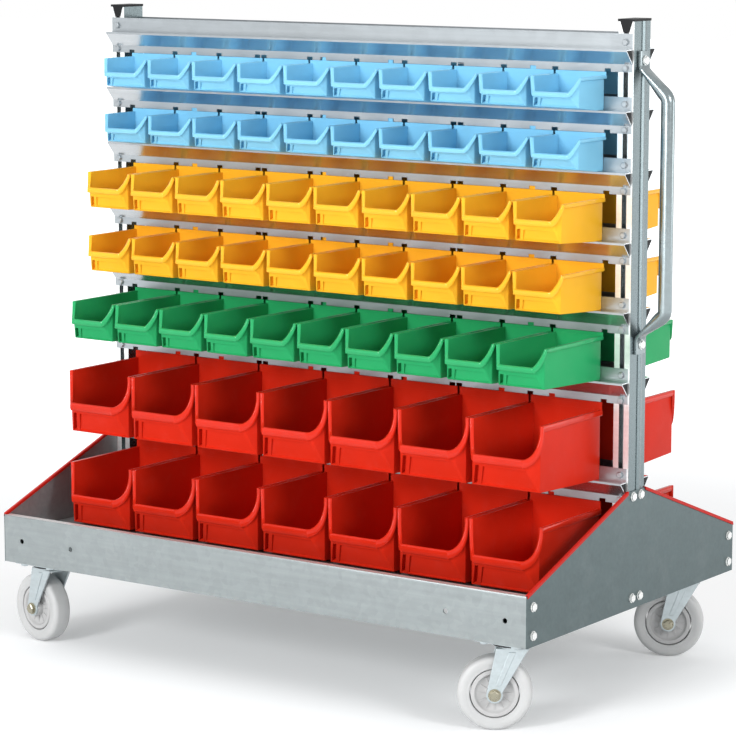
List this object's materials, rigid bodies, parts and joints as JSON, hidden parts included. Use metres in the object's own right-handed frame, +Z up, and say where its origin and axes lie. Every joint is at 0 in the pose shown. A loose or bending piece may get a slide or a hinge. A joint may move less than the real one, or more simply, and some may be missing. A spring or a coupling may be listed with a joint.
{
  "type": "two-sided bin trolley",
  "caption": "Two-sided mobile rack: open-fronted plastic bins hooked on steel rails between two posts, over a tray base on swivel castors, with a push handle.",
  "frame": {"origin": "on the floor under the middle of the base", "axes": "+X along the trolley towards the end with the push handle, +Y towards the rear, +Z up"},
  "size_m": [1.2164, 0.7031, 1.1589],
  "materials": {
    "galvanised_sheet": "galvanised, satin",
    "zinc_rail": "bright zinc plate",
    "zinc_bolt": "bright zinc plate",
    "post_aluminium": "mill finish",
    "cap_plastic": "matt",
    "red_trim": "satin",
    "handle_tube": "bright zinc plate",
    "castor_steel": "bright zinc plate",
    "castor_axle": "yellow zinc plate",
    "wheel_core": "satin",
    "castor_tyre": "matt",
    "blue_bin": "satin moulded",
    "yellow_bin": "satin moulded",
    "green_bin": "satin moulded",
    "red_bin": "satin moulded"
  },
  "bodies": {
    "frame": {"post_left": "post_aluminium", "post_right": "post_aluminium", "post_cap_left": "cap_plastic", "post_cap_right": "cap_plastic", "front_hook_rails": "zinc_rail", "rear_hook_rails": "zinc_rail", "rail_bolts": "zinc_bolt", "front_side_panel": "galvanised_sheet", "rear_side_panel": "galvanised_sheet", "end_plate_left": "galvanised_sheet", "end_plate_right": "galvanised_sheet", "end_plate_bolts": "zinc_bolt", "edge_trims_left": "red_trim", "edge_trims_right": "red_trim", "base_tray": "galvanised_sheet", "castor_bearers": "galvanised_sheet", "push_handle": "handle_tube", "handle_bolts": "zinc_bolt", "castor_bolts": "zinc_bolt", "castor_head_front_left": "castor_steel", "castor_head_front_right": "castor_steel", "castor_head_rear_left": "castor_steel", "castor_head_rear_right": "castor_steel", "front_row_1_blue_bins": "blue_bin", "rear_row_1_blue_bins": "blue_bin", "front_row_2_blue_bins": "blue_bin", "rear_row_2_blue_bins": "blue_bin", "front_row_3_yellow_bins": "yellow_bin", "rear_row_3_yellow_bins": "yellow_bin", "front_row_4_yellow_bins": "yellow_bin", "rear_row_4_yellow_bins": "yellow_bin", "front_row_5_green_bins": "green_bin", "rear_row_5_green_bins": "green_bin", "front_row_6_red_bins": "red_bin", "rear_row_6_red_bins": "red_bin", "front_row_7_red_bins": "red_bin", "rear_row_7_red_bins": "red_bin"},
    "fork_front_left": {"castor_fork_front_left": "castor_steel", "castor_axle_front_left": "castor_axle"},
    "wheel_front_left": {"castor_wheel_core_front_left": "wheel_core", "castor_tyre_front_left": "castor_tyre"},
    "fork_front_right": {"castor_fork_front_right": "castor_steel", "castor_axle_front_right": "castor_axle"},
    "wheel_front_right": {"castor_wheel_core_front_right": "wheel_core", "castor_tyre_front_right": "castor_tyre"},
    "fork_rear_left": {"castor_fork_rear_left": "castor_steel", "castor_axle_rear_left": "castor_axle"},
    "wheel_rear_left": {"castor_wheel_core_rear_left": "wheel_core", "castor_tyre_rear_left": "castor_tyre"},
    "fork_rear_right": {"castor_fork_rear_right": "castor_steel", "castor_axle_rear_right": "castor_axle"},
    "wheel_rear_right": {"castor_wheel_core_rear_right": "wheel_core", "castor_tyre_rear_right": "castor_tyre"},
    "bin_row_1": {"front_row_1_blue_end_bin": "blue_bin"},
    "bin_row_2": {"front_row_2_blue_end_bin": "blue_bin"},
    "bin_row_3": {"front_row_3_yellow_end_bin": "yellow_bin"},
    "bin_row_4": {"front_row_4_yellow_end_bin": "yellow_bin"},
    "bin_row_5": {"front_row_5_green_end_bin": "green_bin"},
    "bin_row_6": {"front_row_6_red_end_bin": "red_bin"},
    "bin_row_7": {"front_row_7_red_end_bin": "red_bin"}
  },
  "joints": [
    {"name": "swivel_front_left", "type": "hinge", "parent": "frame", "child": "fork_front_left", "pos_m": [-0.5, -0.292, 0.15], "axis": [0, 0, 1], "continuous": true},
    {"name": "roll_front_left", "type": "hinge", "parent": "fork_front_left", "child": "wheel_front_left", "pos_m": [-0.52837, -0.28597, 0.0625], "axis": [-0.2079, -0.9781, 0], "continuous": true},
    {"name": "swivel_front_right", "type": "hinge", "parent": "frame", "child": "fork_front_right", "pos_m": [0.5, -0.292, 0.15], "axis": [0, 0, 1], "continuous": true},
    {"name": "roll_front_right", "type": "hinge", "parent": "fork_front_right", "child": "wheel_front_right", "pos_m": [0.47541, -0.30737, 0.0625], "axis": [0.5299, -0.848, 0], "continuous": true},
    {"name": "swivel_rear_left", "type": "hinge", "parent": "frame", "child": "fork_rear_left", "pos_m": [-0.5, 0.292, 0.15], "axis": [0, 0, 1], "continuous": true},
    {"name": "roll_rear_left", "type": "hinge", "parent": "fork_rear_left", "child": "wheel_rear_left", "pos_m": [-0.52801, 0.28449, 0.0625], "axis": [0.2588, -0.9659, 0], "continuous": true},
    {"name": "swivel_rear_right", "type": "hinge", "parent": "frame", "child": "fork_rear_right", "pos_m": [0.5, 0.292, 0.15], "axis": [0, 0, 1], "continuous": true},
    {"name": "roll_rear_right", "type": "hinge", "parent": "fork_rear_right", "child": "wheel_rear_right", "pos_m": [0.47393, 0.27929, 0.0625], "axis": [0.4384, -0.8988, 0], "continuous": true},
    {"name": "tilt_row_1", "type": "hinge", "parent": "frame", "child": "bin_row_1", "pos_m": [0, -0.02775, 1.0709], "axis": [-1, 0, 0], "range_deg": [0, 20]},
    {"name": "tilt_row_2", "type": "hinge", "parent": "frame", "child": "bin_row_2", "pos_m": [0, -0.02775, 0.9686], "axis": [-1, 0, 0], "range_deg": [0, 20]},
    {"name": "tilt_row_3", "type": "hinge", "parent": "frame", "child": "bin_row_3", "pos_m": [0, -0.02775, 0.8663], "axis": [-1, 0, 0], "range_deg": [0, 18]},
    {"name": "tilt_row_4", "type": "hinge", "parent": "frame", "child": "bin_row_4", "pos_m": [0, -0.02775, 0.7488], "axis": [-1, 0, 0], "range_deg": [0, 18]},
    {"name": "tilt_row_5", "type": "hinge", "parent": "frame", "child": "bin_row_5", "pos_m": [0, -0.02775, 0.6313], "axis": [-1, 0, 0], "range_deg": [0, 15]},
    {"name": "tilt_row_6", "type": "hinge", "parent": "frame", "child": "bin_row_6", "pos_m": [0, -0.02775, 0.5115], "axis": [-1, 0, 0], "range_deg": [0, 12]},
    {"name": "tilt_row_7", "type": "hinge", "parent": "frame", "child": "bin_row_7", "pos_m": [0, -0.02775, 0.34], "axis": [-1, 0, 0], "range_deg": [0, 12]}
  ]
}
